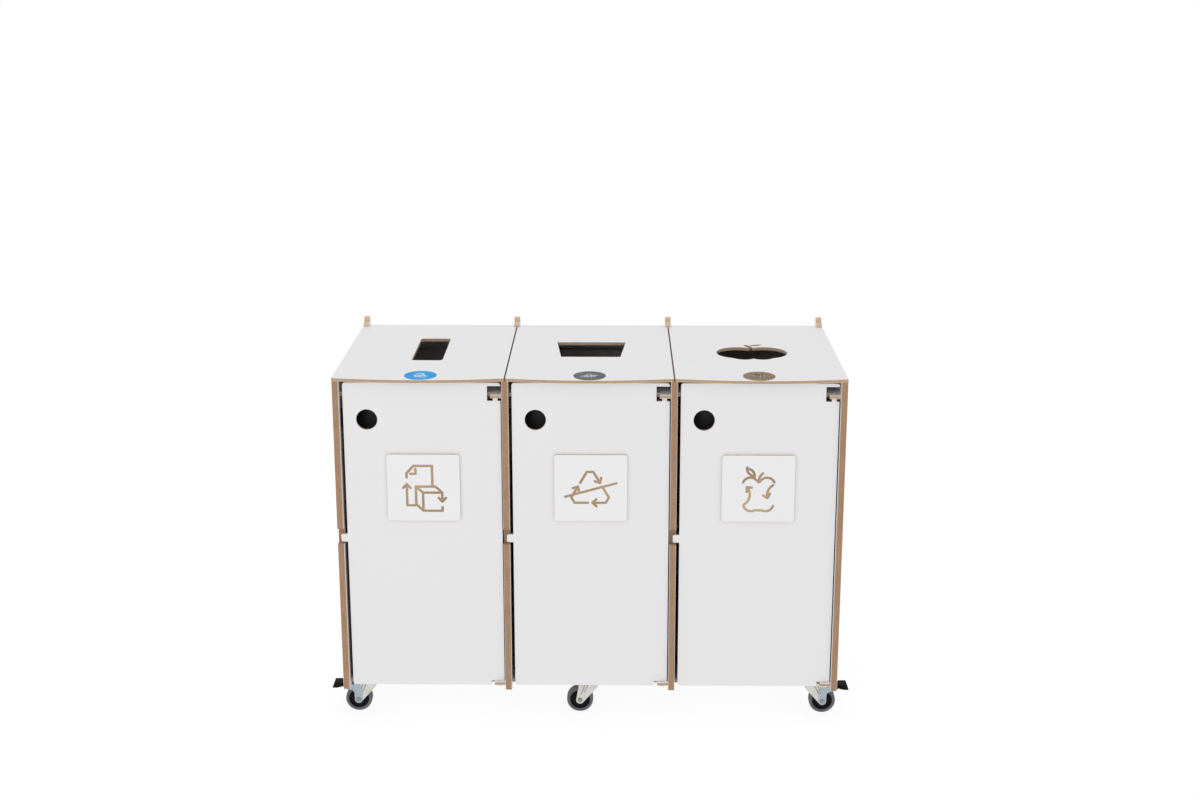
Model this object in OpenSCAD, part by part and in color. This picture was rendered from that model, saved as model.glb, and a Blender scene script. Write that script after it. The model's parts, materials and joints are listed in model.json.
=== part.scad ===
// Recycling bin station: three bays of plywood on casters, each with a lid, a door and a bin.
// X runs to the right, Y to the rear, Z up. The origin is the middle of the footprint, on the floor.

/* [Cabinet] */
// Distance between the middles of neighbouring upright panels
bay_pitch = 460; // [400:1:600]
// Thickness of the four upright panels
panel_t = 18; // [15:1:24]
// Height of an upright panel without its lug
panel_h = 908; // [760:1:1100]
// Depth of an upright panel, front edge to rear edge
panel_depth = 618; // [520:1:750]
// Thickness of floor boards, top rails and back panels
board_t = 9; // [8:1:15]
// How far the panels hang below the floor boards
panel_drop = 14; // [8:1:20]
// Depth of a top rail, front to back
rail_depth = 70; // [50:1:110]
// Distance from the panel tops down to the top of the rail
rail_drop = 38; // [34:1:60]
// Distance from the rear edge of the panels to the back panel
back_inset = 24; // [22:1:60]
// Length of the tenons that go into the panels
tenon_len = 7; // [5:0.5:7]
// Width of a tenon
tenon_w = 60; // [40:1:65]
// Clearance round a tenon in its mortise
mortise_gap = 0.1; // [0.05:0.05:0.3]

/* [Lids] */
// Thickness of a lid
lid_t = 9; // [8:1:15]
// Gap between neighbouring lids
lid_gap = 4; // [3:0.5:8]
// How far a lid's front edge bows forward at its middle
lid_bow = 20; // [8:1:30]
// Front to back size of the lug that stops a lid
lug_depth = 22; // [16:1:30]
// Height of a lug above the lid
lug_rise = 22; // [16:1:34]
// Clearance between lug and lid
lug_gap = 1.5; // [1:0.1:3]
// Clearance between a lid and the panels it lies on
seat_gap = 0.3; // [0.2:0.1:0.5]
// Width of the paper slot
slot_w = 87; // [60:1:110]
// Length of the paper slot, front to back
slot_len = 245; // [180:1:260]
// Rear width of the trapezoid opening
trap_rear = 200; // [150:1:240]
// Front width of the trapezoid opening
trap_front = 168; // [120:1:200]
// Front to back size of the trapezoid opening
trap_len = 165; // [100:1:200]
// Radius of each rear lobe of the fruit-shaped opening
lobe_r = 62; // [50:1:66]
// Diameter of a colour badge
badge_d = 88; // [60:1:100]
// Thickness of a colour badge
badge_t = 0.8; // [0.5:0.1:2]

/* [Doors] */
// Thickness of a door
door_t = 9; // [8:1:12]
// How far the door face lies behind the panels' front edges
door_recess = 10; // [8:0.5:14]
// Gap on the hinge side of a door
hinge_gap = 3; // [2.5:0.5:5]
// Gap on the closing side of a door
close_gap = 9; // [5:0.5:12]
// Gap between door top and lid
door_top_gap = 6.5; // [4:0.5:12]
// How far a door hangs below the underside of the floor board
door_drop = 4; // [2:0.5:7]
// Distance from the panel face to the hinge axis
pivot_inset = 17.4; // [16:0.1:22]
// Width of a door tongue
tongue_w = 13; // [10:0.5:15]
// Clearance between a tongue's corners and the round hole that it turns in
pivot_gap = 0.5; // [0.3:0.1:1.2]
// Half width of a hinge ear on its free side
ear_half = 13.5; // [12:0.5:15]
// Distance from the hinge axis to the side of the notch round an ear
notch_reach = 22; // [20.5:0.5:26]
// Room in the door below the upper ear
notch_below = 10.5; // [6:0.5:20]
// Room in the door above the upper ear
notch_above = 22; // [14:0.5:22.5]
// How far the upper tongue stands above its ear
tongue_above = 0.5; // [0.5:0.5:12]
// How far the lower tongue hangs below its ear
tongue_below = 7.5; // [4:0.5:12]
// Diameter of the finger hole
finger_d = 58; // [40:1:70]
// Distance from the door's closing edge to the middle of the finger hole
finger_in = 64; // [50:1:90]
// Distance from the door top down to the middle of the finger hole
finger_down = 105; // [70:1:160]
// Height of the closing tab
tab_h = 23; // [16:1:30]
// Distance from the door bottom up to the middle of the tab
tab_up = 443; // [300:1:520]
// Width of a sign plate
sign_w = 200; // [120:1:240]
// Height of a sign plate
sign_h = 192; // [120:1:240]
// Thickness of a sign plate
sign_t = 6; // [3:0.5:8]
// Distance from the door top down to the middle of the sign plate
sign_down = 299; // [230:1:400]

/* [Bins] */
// Room between a bin's rim and the panel on each side
bin_side_room = 21; // [19:0.5:50]
// Room in front of a bin's rim and behind it
bin_end_room = 22.25; // [17:0.25:60]
// Room between a bin's rim and the top rail
bin_head_room = 7.7; // [3:0.1:120]
// Wall thickness of a bin
bin_wall = 4; // [3:0.5:6]
// Width of the rim that stands out from the wall
rim_w = 12; // [8:1:20]
// Height of the rim
rim_h = 14; // [10:1:30]

/* [Casters] */
// Floor to underside of the floor board
caster_h = 103; // [95:1:130]
// Wheel diameter
wheel_d = 75; // [60:1:80]
// Wheel width at the tyre
wheel_w = 24; // [20:1:28]
// Thickness of the grey tyre
tyre_t = 9; // [5:0.5:12]
// Distance from the swivel axis to the wheel axle
trail = 29; // [20:0.5:35]
// Distance from the panel face to a corner caster's swivel axis
caster_in = 46; // [42:1:80]
// Distance from the panels' front edge to the front casters
caster_front = 56; // [56:1:90]
// Distance from the panels' rear edge to the rear casters
caster_rear = 78; // [66:1:120]
// Length of a caster's top plate
plate_len = 75; // [65:1:80]
// Width of a caster's top plate
plate_w = 60; // [52:1:64]
// Thickness of a caster's top plate
plate_t = 2.5; // [2:0.5:4]
// Thickness of a fork leg
fork_t = 2.5; // [2:0.5:3.5]
// Radius of an axle bolt
axle_r = 4; // [3:0.5:5]
// Clearance between axle bolt and wheel bore
axle_gap = 0.05; // [0.02:0.01:0.09]
// Clearance between fork and wheel side
fork_gap = 2; // [1:0.5:4]
// How far a brake pedal reaches past the wheel axle
pedal_reach = 75; // [60:1:80]

/* [Hidden] */
BAYS = ["left", "centre", "right"];
SPOTS = [for (row = ["front", "rear"], side = BAYS) str(row, "_", side)];

$fn = 64;
// How far pieces of one solid run into each other, and how far a cutter stands out
EPS = 0.01;
OVER = 1;
WHITE = "#ECEBEA";
STEEL = "#C9CED0";
DARK = "#3A3B3E";

// Panel bottoms, tops and the boards between them
panel_z0 = caster_h - panel_drop;
panel_z1 = panel_z0 + panel_h;
floor_z1 = caster_h + board_t;
rail_z1 = panel_z1 - rail_drop;
rail_z0 = rail_z1 - board_t;
lid_z0 = panel_z1 + seat_gap;
lid_z1 = lid_z0 + lid_t;

// Depths, measured from the panels' front edge
rail_gap = 1.5;
lid_rear = panel_depth - lug_depth;
back_y0 = panel_depth - back_inset - board_t;
door_y0 = door_recess;
door_y1 = door_recess + door_t;
pivot_y = door_recess + door_t / 2;
pivot_hole_r = norm([tongue_w, door_t]) / 2 + pivot_gap;
board_y0 = door_y1 + rail_gap;
notch_depth = door_y1 + seat_gap;
// Puts the middle of the footprint at Y = 0: the lids bow out in front, the panels end behind
mid_y = (panel_depth - lid_bow) / 2;

tenon_front = 150;
tenon_rear = 190;
tenon_end = 220;
rail_shoulder = 12;
// The back panel stops this far below the panels' tops
back_drop = 1;

half_total = 1.5 * bay_pitch + panel_t / 2;
bay_clear = bay_pitch - panel_t;
function panel_x(k) = (k - 1.5) * bay_pitch;
function bay_x(i) = (i - 1) * bay_pitch;

// Doors, in a bay's own frame: X = 0 is the middle of the bay
pivot_x = bay_clear / 2 - pivot_inset;
door_x0 = -bay_clear / 2 + close_gap;
door_x1 = bay_clear / 2 - hinge_gap;
door_z0 = caster_h - door_drop;
door_z1 = panel_z1 - door_top_gap;
door_mid = (door_x0 + door_x1) / 2;
tab_z = door_z0 + tab_up;
tab_end = -bay_clear / 2 - panel_t / 2;
tab_root = 10;
tab_room = 4;
tab_lift = 18;
finger_z = door_z1 - finger_down;
sign_z = door_z1 - sign_down;
corner_r = 8;
sign_r = 7;

// Magnet catch behind the closing edge of a door
catch_w = 18;
catch_d = 14;
catch_h = 50;
catch_z = finger_z;
strike_t = 1.5;
strike_w = catch_w - close_gap - 1;
strike_edge = 0.5;
strike_h = 36;

// Lid openings, measured from the panels' front edge to their middle
slot_y = 306;
trap_y = 307;
fruit_y = 275;
badge_y = 26;
lobe_x = 39;
low_lobe_r = 34;
low_lobe_x = 26;
low_lobe_y = -42;
// Where the straight flank of the fruit touches its lobes, as a direction from their middles
flank = [0.80, -0.60];
stem_w = 12;
stem_len = 44;
stem_at = [-4, 4];
stem_lean = 28;
leaf_w = 15;
leaf_len = 46;
leaf_at = [16, 20];
leaf_lean = -68;
slot_r = 10;

// Bins
bin_taper = 0.86;
bin_gap = seat_gap;
bin_y = (board_y0 + back_y0) / 2;
bin_w = bay_clear - 2 * bin_side_room;
bin_len = back_y0 - board_y0 - 2 * bin_end_room;
bin_h = rail_z0 - floor_z1 - bin_gap - bin_head_room;
bin_r = 40;

// Casters
axle_z = wheel_d / 2;
fork_in = wheel_w / 2 + fork_gap;
head_r = 24;
head_h = 9;
head_slope = 3;
crown_t = 3;
crown_lip = 2;
swivel_gap = 0.4;
plate_r = 6;
leg_end_r = 11;
leg_shoulder = 12;
crown_z1 = caster_h - plate_t - head_h - swivel_gap;
hub_w = wheel_w + 2 * fork_gap - 1;
bolt_head_r = 7;
bolt_head_h = 4;
screw_r = 3;
screw_len = 6;
screw_head_r = 5;
screw_head_h = 2;
screw_tip_room = 1;
screw_in = 8;
hub_boss = 7;
web_in = 5;
tyre_round = 3;
king_r = 5;
king_gap = 1;
pedal_w = 30;
pedal_clear = 1.2;
pedal_side_gap = 0.5;
pedal_z1 = panel_z0 - pedal_clear;
pedal_pivot_r = 3;
pedal_pivot_gap = 0.08;
pedal_pivot_x = 30;
pedal_hub_r = 7;
pedal_heel = 13;
pedal_toe = -3;
pedal_bevel = 6;
pedal_pivot_z = pedal_z1 - pedal_heel;
bracket_r = 8;
bracket_rise = 18;
bracket_lap = 4;

function spot_col(s) = s % 3;
function spot_x(s) = (spot_col(s) - 1) * (half_total - panel_t - caster_in);
function spot_y(s) = s < 3 ? caster_front : panel_depth - caster_rear;
// The right-hand casters trail to the right, the others to the left
function spot_turn(s) = spot_col(s) == 2 ? 180 : 0;

// ---------- helpers ----------

module place() translate([0, -mid_y, 0]) children();

module at_bay(i) place() translate([bay_x(i), 0, 0]) children();

module at_spot(s) place() translate([spot_x(s), spot_y(s), 0]) rotate([0, 0, spot_turn(s)]) children();

// A rectangle with arcs at its corners, from true circles
module rounded(w, h, r) {
    square([w - 2 * r, h], center = true);
    square([w, h - 2 * r], center = true);
    for (sx = [-1, 1], sy = [-1, 1]) translate([sx * (w / 2 - r), sy * (h / 2 - r)]) circle(r);
}

module box(x0, x1, y0, y1, z0, z1) translate([x0, y0, z0]) cube([x1 - x0, y1 - y0, z1 - z0]);

// Extrudes an X-Z outline from y0 to y1
module upright(y0, y1) translate([0, y1, 0]) rotate([90, 0, 0]) linear_extrude(y1 - y0) children();

// ---------- cabinet ----------

// Middles of the floor board's tenons and of the back panel's tenons
floor_tenons = [tenon_front, panel_depth - tenon_rear];
back_tenons = [panel_z0 + tenon_end, panel_z1 - tenon_end];
rail_tenon_y = board_y0 + rail_depth / 2;
rail_tenon_w = rail_depth - 2 * rail_shoulder;

module mortises(side) {
    x0 = side > 0 ? panel_t / 2 - tenon_len - mortise_gap : -panel_t / 2 - OVER;
    x1 = side > 0 ? panel_t / 2 + OVER : -panel_t / 2 + tenon_len + mortise_gap;
    g = mortise_gap;
    for (y = floor_tenons)
        box(x0, x1, y - tenon_w / 2 - g, y + tenon_w / 2 + g, caster_h - g, floor_z1 + g);
    box(x0, x1, rail_tenon_y - rail_tenon_w / 2 - g, rail_tenon_y + rail_tenon_w / 2 + g,
        rail_z0 - g, rail_z1 + g);
    for (z = back_tenons)
        box(x0, x1, back_y0 - g, back_y0 + board_t + g, z - tenon_w / 2 - g, z + tenon_w / 2 + g);
}

// Side outline of a panel: the lug's lower front is an arc about the lid's hinge line
module panel_outline() {
    arc_r = lug_depth - lug_gap;
    square_y = lid_rear + lug_gap;
    translate([0, panel_z0]) square([panel_depth, panel_h]);
    intersection() {
        translate([lid_rear, panel_z1]) circle(arc_r);
        translate([lid_rear - arc_r, panel_z1 - EPS]) square([arc_r + lug_gap + EPS, arc_r]);
    }
    translate([square_y, panel_z1 - EPS])
        square([panel_depth - square_y, lid_t + lug_rise + EPS]);
}

module panel(k) {
    color(WHITE) place() translate([panel_x(k), 0, 0]) difference() {
        rotate([90, 0, 90]) translate([0, 0, -panel_t / 2]) linear_extrude(panel_t) panel_outline();
        if (k < 3) mortises(1);
        if (k > 0) mortises(-1);
        if (k < 3) box(-panel_t / 2 - OVER, panel_t / 2 + OVER, -OVER, notch_depth,
            tab_z - tab_h / 2 - tab_room, tab_z + tab_h / 2 + tab_lift);
    }
}

// The ear reaches forward round the hinge axis and stops at the panel
module ear(z0, z1) box(pivot_x - ear_half, bay_clear / 2, 0, board_y0 + OVER, z0, z1);

// Hole through the ear, and a little into the board behind it, for a door's tongue
module pivot_hole(z0, z1) 
    translate([pivot_x, pivot_y, z0 - OVER]) cylinder(r = pivot_hole_r, h = z1 - z0 + 2 * OVER);

module floor_board(i) {
    color(WHITE) at_bay(i) difference() {
        union() {
            box(-bay_clear / 2, bay_clear / 2, board_y0, back_y0, caster_h, floor_z1);
            ear(caster_h, floor_z1);
            for (y = floor_tenons, s = [-1, 1])
                translate([s * (bay_clear / 2 + tenon_len / 2 - EPS), y, (caster_h + floor_z1) / 2])
                    cube([tenon_len + EPS, tenon_w, board_t], center = true);
        }
        pivot_hole(caster_h, floor_z1);
        for (s = [0:5]) if (spot_col(s) == i)
            translate([spot_x(s) - bay_x(i), spot_y(s), caster_h - OVER])
                screw_places() cylinder(r = screw_r, h = OVER + screw_len + screw_tip_room);
    }
}

module top_rail(i) {
    color(WHITE) at_bay(i) difference() {
        union() {
            box(-bay_clear / 2, bay_clear / 2, board_y0, board_y0 + rail_depth, rail_z0, rail_z1);
            ear(rail_z0, rail_z1);
            for (s = [-1, 1])
                translate([s * (bay_clear / 2 + tenon_len / 2 - EPS), rail_tenon_y, rail_z1 - board_t / 2])
                    cube([tenon_len + EPS, rail_tenon_w, board_t], center = true);
        }
        pivot_hole(rail_z0, rail_z1);
    }
}

module back_panel(i) {
    color(WHITE) at_bay(i) {
        box(-bay_clear / 2, bay_clear / 2, back_y0, back_y0 + board_t, caster_h, panel_z1 - back_drop);
        for (z = back_tenons, s = [-1, 1])
            translate([s * (bay_clear / 2 + tenon_len / 2 - EPS), back_y0 + board_t / 2, z])
                cube([tenon_len + EPS, board_t, tenon_w], center = true);
    }
}

module door_catches() {
    color(DARK) for (i = [0:2]) at_bay(i)
        box(-bay_clear / 2, -bay_clear / 2 + catch_w, door_y1 + strike_t + seat_gap,
            door_y1 + strike_t + seat_gap + catch_d, catch_z - catch_h / 2, catch_z + catch_h / 2);
}

// ---------- bins ----------

module bin_plan(inset)
    rounded(bin_w - 2 * (rim_w + inset), bin_len - 2 * (rim_w + inset), bin_r - inset);

module bin_shell(inset, z0, z1) {
    translate([0, 0, z1]) mirror([0, 0, 1]) linear_extrude(z1 - z0, scale = bin_taper) bin_plan(inset);
}

module bin(i) {
    z0 = floor_z1 + bin_gap;
    z1 = z0 + bin_h;
    color(DARK) at_bay(i) translate([0, bin_y, 0]) difference() {
        union() {
            bin_shell(0, z0, z1);
            translate([0, 0, z1 - rim_h]) linear_extrude(rim_h) rounded(bin_w, bin_len, bin_r);
        }
        intersection() {
            translate([0, 0, bin_wall]) bin_shell(bin_wall, z0, z1);
            translate([0, 0, z0 + bin_wall]) cylinder(r = bin_len, h = bin_h + OVER);
        }
    }
}

// ---------- lids ----------

function lid_x0(i) = i == 0 ? panel_x(0) - panel_t / 2 - bay_x(0) : -bay_pitch / 2 + lid_gap / 2;
function lid_x1(i) = i == 2 ? panel_x(3) + panel_t / 2 - bay_x(2) : bay_pitch / 2 - lid_gap / 2;

// Plan of a lid: straight sides, a front edge that is one shallow arc
module lid_plan(i) {
    x0 = lid_x0(i);
    x1 = lid_x1(i);
    half = (x1 - x0) / 2;
    bow_r = (half * half + lid_bow * lid_bow) / (2 * lid_bow);
    translate([x0, 0]) square([x1 - x0, lid_rear]);
    intersection() {
        translate([(x0 + x1) / 2, bow_r - lid_bow]) circle(bow_r, $fn = 360);
        translate([x0, -2 * lid_bow]) square([x1 - x0, 2 * lid_bow + OVER]);
    }
}

module opening(i) {
    if (i == 0) translate([0, slot_y]) rounded(slot_w, slot_len, slot_r);
    if (i == 1) translate([0, trap_y])
        polygon([[-trap_front / 2, -trap_len / 2], [trap_front / 2, -trap_len / 2],
                 [trap_rear / 2, trap_len / 2], [-trap_rear / 2, trap_len / 2]]);
    if (i == 2) translate([0, fruit_y]) fruit();
}

// A whole round fruit: two lobes at the rear, two smaller ones in front, a stem and a leaf
module fruit() {
    for (s = [-1, 1]) {
        translate([s * lobe_x, 0]) circle(lobe_r);
        translate([s * low_lobe_x, low_lobe_y]) circle(low_lobe_r);
    }
    high = [lobe_x, 0] + lobe_r * flank;
    low = [low_lobe_x, low_lobe_y] + low_lobe_r * flank;
    polygon([[-high.x, high.y], [-low.x, low.y], low, high]);
    translate([0, lobe_r] + stem_at) rotate(stem_lean) square([stem_w, stem_len], center = true);
    translate([0, lobe_r] + leaf_at) rotate(leaf_lean) leaf(leaf_w, leaf_len);
}

// A leaf is the lens shared by two circles
module leaf(w, len) {
    r = (len * len + w * w) / (4 * w);
    intersection() {
        translate([r - w / 2, 0]) circle(r);
        translate([w / 2 - r, 0]) circle(r);
    }
}

module lid(i) {
    wide = panel_t / 2 + lug_gap;
    color(WHITE) at_bay(i) difference() {
        translate([0, 0, lid_z0]) linear_extrude(lid_t) difference() {
            lid_plan(i);
            opening(i);
            for (s = [-1, 1])
                translate([s * bay_pitch / 2 - wide, lid_rear - lug_depth])
                    square([2 * wide, lug_depth + OVER]);
        }
    }
}

module badge(i) {
    color(["#3FA0D8", "#6E746E", "#8A7E6A"][i])
        at_bay(i) translate([0, badge_y, lid_z1]) cylinder(d = badge_d, h = badge_t);
}

// ---------- doors ----------

module door_outline() {
    w = door_x1 - door_x0;
    h = door_z1 - door_z0;
    translate([door_mid, (door_z0 + door_z1) / 2]) rounded(w, h, corner_r);
    translate([tab_end + corner_r / 2, tab_z - tab_h / 2]) square([door_x0 - tab_end + tab_root, tab_h]);
    translate([tab_end, tab_z - tab_h / 2 + corner_r / 2]) square([corner_r, tab_h - corner_r]);
    for (s = [-1, 1])
        translate([tab_end + corner_r / 2, tab_z + s * (tab_h / 2 - corner_r / 2)]) circle(corner_r / 2);
}

module tongue(z0, z1) translate([pivot_x - tongue_w / 2, z0]) square([tongue_w, z1 - z0]);

module door(i) {
    x0 = pivot_x - notch_reach;
    upper_z0 = rail_z0 - notch_below;
    upper_z1 = rail_z1 + notch_above;
    lower_z1 = floor_z1 + seat_gap;
    color(WHITE) at_bay(i) upright(door_y0, door_y1) {
        difference() {
            door_outline();
            translate([x0, upper_z0]) square([door_x1 - x0 + OVER, upper_z1 - upper_z0]);
            translate([x0, door_z0 - OVER]) square([door_x1 - x0 + OVER, lower_z1 - door_z0 + OVER]);
            translate([door_x0 + finger_in, finger_z]) circle(d = finger_d);
        }
        tongue(upper_z0 - EPS, rail_z1 + tongue_above);
        tongue(caster_h - tongue_below, lower_z1 + EPS);
    }
}

module sign_plate(i) {
    color(WHITE) at_bay(i) upright(door_y0 - sign_t, door_y0)
        translate([door_mid, sign_z]) rounded(sign_w, sign_h, sign_r);
}

module strike_plate(i) {
    x1 = -bay_clear / 2 + catch_w - strike_edge;
    color(STEEL) at_bay(i)
        box(x1 - strike_w, x1, door_y1, door_y1 + strike_t, catch_z - strike_h / 2, catch_z + strike_h / 2);
}

// ---------- casters: built at the swivel axis, trailing towards -X ----------

module screw_places() for (sx = [-1, 1], sy = [-1, 1])
    translate([sx * (plate_len / 2 - screw_in), sy * (plate_w / 2 - screw_in), 0]) children();

module caster_plates() {
    color(STEEL) for (s = [0:5]) at_spot(s) difference() {
        union() {
            translate([0, 0, caster_h - plate_t]) {
                linear_extrude(plate_t) rounded(plate_len, plate_w, plate_r);
                translate([0, 0, -head_h]) cylinder(r1 = head_r - head_slope, r2 = head_r, h = head_h);
            }
        }
        screw_places() translate([0, 0, caster_h - plate_t - OVER])
            cylinder(r = screw_r, h = plate_t + 2 * OVER);
        // Seat for the fork's king pin
        translate([0, 0, crown_z1 - crown_t])
            cylinder(r = king_r + axle_gap, h = head_h + crown_t - plate_t);
    }
}

module caster_screws() {
    color(STEEL) for (s = [0:5]) at_spot(s) screw_places() {
        translate([0, 0, caster_h - plate_t]) cylinder(r = screw_r, h = plate_t + screw_len);
        translate([0, 0, caster_h - plate_t - screw_head_h]) cylinder(r = screw_head_r, h = screw_head_h);
    }
}

// One leg of a fork: a tapering blade with a round end at the axle
module leg_outline() {
    outer = leg_end_r * [-0.98, 0.20];
    inner = leg_end_r * [0.86, -0.51];
    translate([-trail, axle_z]) {
        circle(leg_end_r);
        polygon([outer, [-crown_lip, crown_z1 - axle_z], [trail + head_r, crown_z1 - axle_z],
                 [trail + head_r - crown_lip, crown_z1 - axle_z - leg_shoulder], inner]);
    }
}

module fork(s) {
    braked = s == 0 || s == 2;
    color(STEEL) at_spot(s) difference() {
        union() {
            for (m = [0, 1]) mirror([0, m, 0]) upright(fork_in, fork_in + fork_t) leg_outline();
            translate([-trail - crown_lip, -fork_in - fork_t, crown_z1 - crown_t])
                cube([trail + crown_lip + head_r, 2 * (fork_in + fork_t), crown_t]);
            translate([0, 0, crown_z1 - crown_t])
                cylinder(r = king_r, h = crown_t + head_h - plate_t - king_gap);
            if (braked) for (m = [0, 1]) mirror([0, m, 0])
                upright(fork_in, fork_in + fork_t) brake_bracket();
        }
        translate([-trail, 0, axle_z]) rotate([90, 0, 0])
            cylinder(r = axle_r, h = 4 * wheel_w, center = true);
    }
}

// Arm of the braked fork that carries the pedal's pivot
module brake_bracket() {
    translate([-trail - pedal_pivot_x, pedal_pivot_z]) difference() {
        union() {
            circle(bracket_r);
            polygon([[0, -bracket_r], [0, bracket_r], [pedal_pivot_x + bracket_lap, bracket_rise],
                     [pedal_pivot_x + bracket_lap, -bracket_r]]);
        }
        circle(pedal_pivot_r);
    }
}

module axle(s) {
    reach = fork_in + fork_t;
    color(STEEL) at_spot(s) translate([-trail, 0, axle_z]) rotate([90, 0, 0]) {
        cylinder(r = axle_r, h = 2 * reach, center = true);
        for (m = [0, 1]) mirror([0, 0, m]) translate([0, 0, reach])
            cylinder(r = bolt_head_r, h = bolt_head_h);
    }
}

module wheel(s) {
    color(DARK) at_spot(s) translate([-trail, 0, axle_z]) rotate([90, 0, 0]) rotate_extrude() {
        bore = axle_r + axle_gap;
        half = [[bore, hub_w / 2], [bore + hub_boss, hub_w / 2], [bore + hub_boss, wheel_w / 2 - web_in],
                [wheel_d / 2 - tyre_t, wheel_w / 2 - web_in], [wheel_d / 2 - tyre_t, wheel_w / 2],
                [wheel_d / 2 - tyre_round, wheel_w / 2], [wheel_d / 2, wheel_w / 2 - tyre_round]];
        last = len(half) - 1;
        polygon(concat(half, [for (k = [last:-1:0]) [half[k].x, -half[k].y]]));
    }
}

// The pedal turns on a pin between the two brackets and reaches out past the wheel
module brake_pedal(s) {
    inner = 2 * (fork_in - pedal_side_gap);
    tip = pedal_reach - pedal_pivot_x;
    color(DARK) at_spot(s) translate([-trail - pedal_pivot_x, 0, pedal_pivot_z]) {
        rotate([90, 0, 0]) {
            cylinder(r = pedal_pivot_r - pedal_pivot_gap, h = 2 * (fork_in + fork_t), center = true);
            cylinder(r = pedal_hub_r, h = inner, center = true);
        }
        // The arm, and the broader tread that a foot presses
        translate([0, inner / 2, 0]) rotate([90, 0, 0]) linear_extrude(inner)
            polygon([[0, -pedal_hub_r], [0, pedal_hub_r], [-tip * 0.45, pedal_heel], [-tip * 0.45, 2]]);
        translate([0, pedal_w / 2, 0]) rotate([90, 0, 0]) linear_extrude(pedal_w)
            polygon([[-tip * 0.4, pedal_heel], [-tip * 0.4, 0], [-tip * 0.7, pedal_toe],
                     [-tip, pedal_toe], [-tip + pedal_bevel, pedal_heel]]);
    }
}

// ---------- nodes ----------

panel(0);  // left_end_panel
panel(1);  // left_divider
panel(2);  // right_divider
panel(3);  // right_end_panel
for (i = [0:2]) {
    floor_board(i);
    top_rail(i);
    back_panel(i);
    bin(i);
    lid(i);
    badge(i);
    door(i);
    sign_plate(i);
    strike_plate(i);
}
door_catches();
caster_plates();
caster_screws();
for (s = [0:5]) {
    fork(s);
    axle(s);
    wheel(s);
}
brake_pedal(0);  // brake_pedal_left
brake_pedal(2);  // brake_pedal_right
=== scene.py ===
# %% [markdown]
# A recycling station: three bays of white-faced plywood on casters. The design, its sizes and its
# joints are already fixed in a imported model. This lesson dresses that model: every plain solid gets
# softened edges, real finishes, and the small things that a drawing leaves out.

import json
import math

import bmesh
import bpy
from mathutils import Matrix, Vector


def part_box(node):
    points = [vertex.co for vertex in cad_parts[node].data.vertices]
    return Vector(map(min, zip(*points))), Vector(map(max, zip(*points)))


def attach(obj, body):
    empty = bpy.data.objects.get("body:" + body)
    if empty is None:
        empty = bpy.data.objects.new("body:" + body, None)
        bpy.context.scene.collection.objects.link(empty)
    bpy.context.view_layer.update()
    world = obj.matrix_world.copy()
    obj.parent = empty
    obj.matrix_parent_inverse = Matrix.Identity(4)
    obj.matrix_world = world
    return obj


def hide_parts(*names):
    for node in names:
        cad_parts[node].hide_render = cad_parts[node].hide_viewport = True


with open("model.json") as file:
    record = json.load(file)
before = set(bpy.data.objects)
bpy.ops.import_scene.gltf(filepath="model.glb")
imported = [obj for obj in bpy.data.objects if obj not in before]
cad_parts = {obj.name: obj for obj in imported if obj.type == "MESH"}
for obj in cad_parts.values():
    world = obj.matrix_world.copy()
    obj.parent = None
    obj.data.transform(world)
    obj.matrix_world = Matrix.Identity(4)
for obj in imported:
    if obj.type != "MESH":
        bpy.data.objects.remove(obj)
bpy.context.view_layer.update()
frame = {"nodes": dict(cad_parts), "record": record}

MM = 0.001
BAYS = ("left", "centre", "right")
SPOTS = ("front_left", "front_centre", "front_right", "rear_left", "rear_centre", "rear_right")
BODY_OF = {n: b for b, nodes in frame["record"]["behaviour"]["bodies"].items() for n in nodes}
SLOT_OF = {s["node"]: s["material_slot"] for s in frame["record"]["subparts"]}

# %% [markdown]
# The camera stands in front of the station, a little over two metres up, and looks slightly down.
# Tilting a camera makes uprights lean together. A small vertical shift of the lens takes part of the
# tilt away, as an architectural lens does, and keeps the uprights nearly parallel.

# %% Camera
EYE = (0.068, -4.5, 2.2)
TILT_DOWN = math.radians(13.79)
TURN_LEFT = math.radians(0.558)
lens = bpy.data.cameras.new("front_lens")
lens.lens = 48.55
lens.sensor_width = 36.0
lens.shift_y = -0.0667
camera = bpy.data.objects.new("front_camera", lens)
camera.location = EYE
camera.rotation_euler = (math.pi / 2 - TILT_DOWN, 0.0, TURN_LEFT)
bpy.context.collection.objects.link(camera)
bpy.context.scene.camera = camera
print("camera at", EYE)

# %% [markdown]
# A white object on a white ground is a high-key picture. The world is pure white and does nearly all
# the lighting, so a face is as bright as its own colour, and the gaps go dark by themselves. One large
# soft panel, high on the left, only adds faint shadows to the lower right of what stands out. The floor
# glows by itself like a backlit sheet, so it stays white right up to the wheels.

# %% World, lights and floor
def area_light(name, place, aim, size, watts):
    """A square soft light at place that faces aim."""
    data = bpy.data.lights.new(name, "AREA")
    data.size = size
    data.energy = watts
    light = bpy.data.objects.new(name, data)
    light.location = place
    light.rotation_euler = (Vector(aim) - Vector(place)).to_track_quat("-Z", "Y").to_euler()
    bpy.context.collection.objects.link(light)
    return light


WORLD_LIGHT = 1.0
world = bpy.data.worlds.new("white_studio")
world.use_nodes = True
world.node_tree.nodes["Background"].inputs["Color"].default_value = (1.0, 1.0, 1.0, 1.0)
world.node_tree.nodes["Background"].inputs["Strength"].default_value = WORLD_LIGHT
bpy.context.scene.world = world
bpy.context.scene.view_settings.view_transform = "Standard"

CENTRE = (0.0, 0.0, 0.55)
area_light("key_panel", (-2.0, -4.3, 2.8), CENTRE, 1.5, 20.0)


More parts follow.
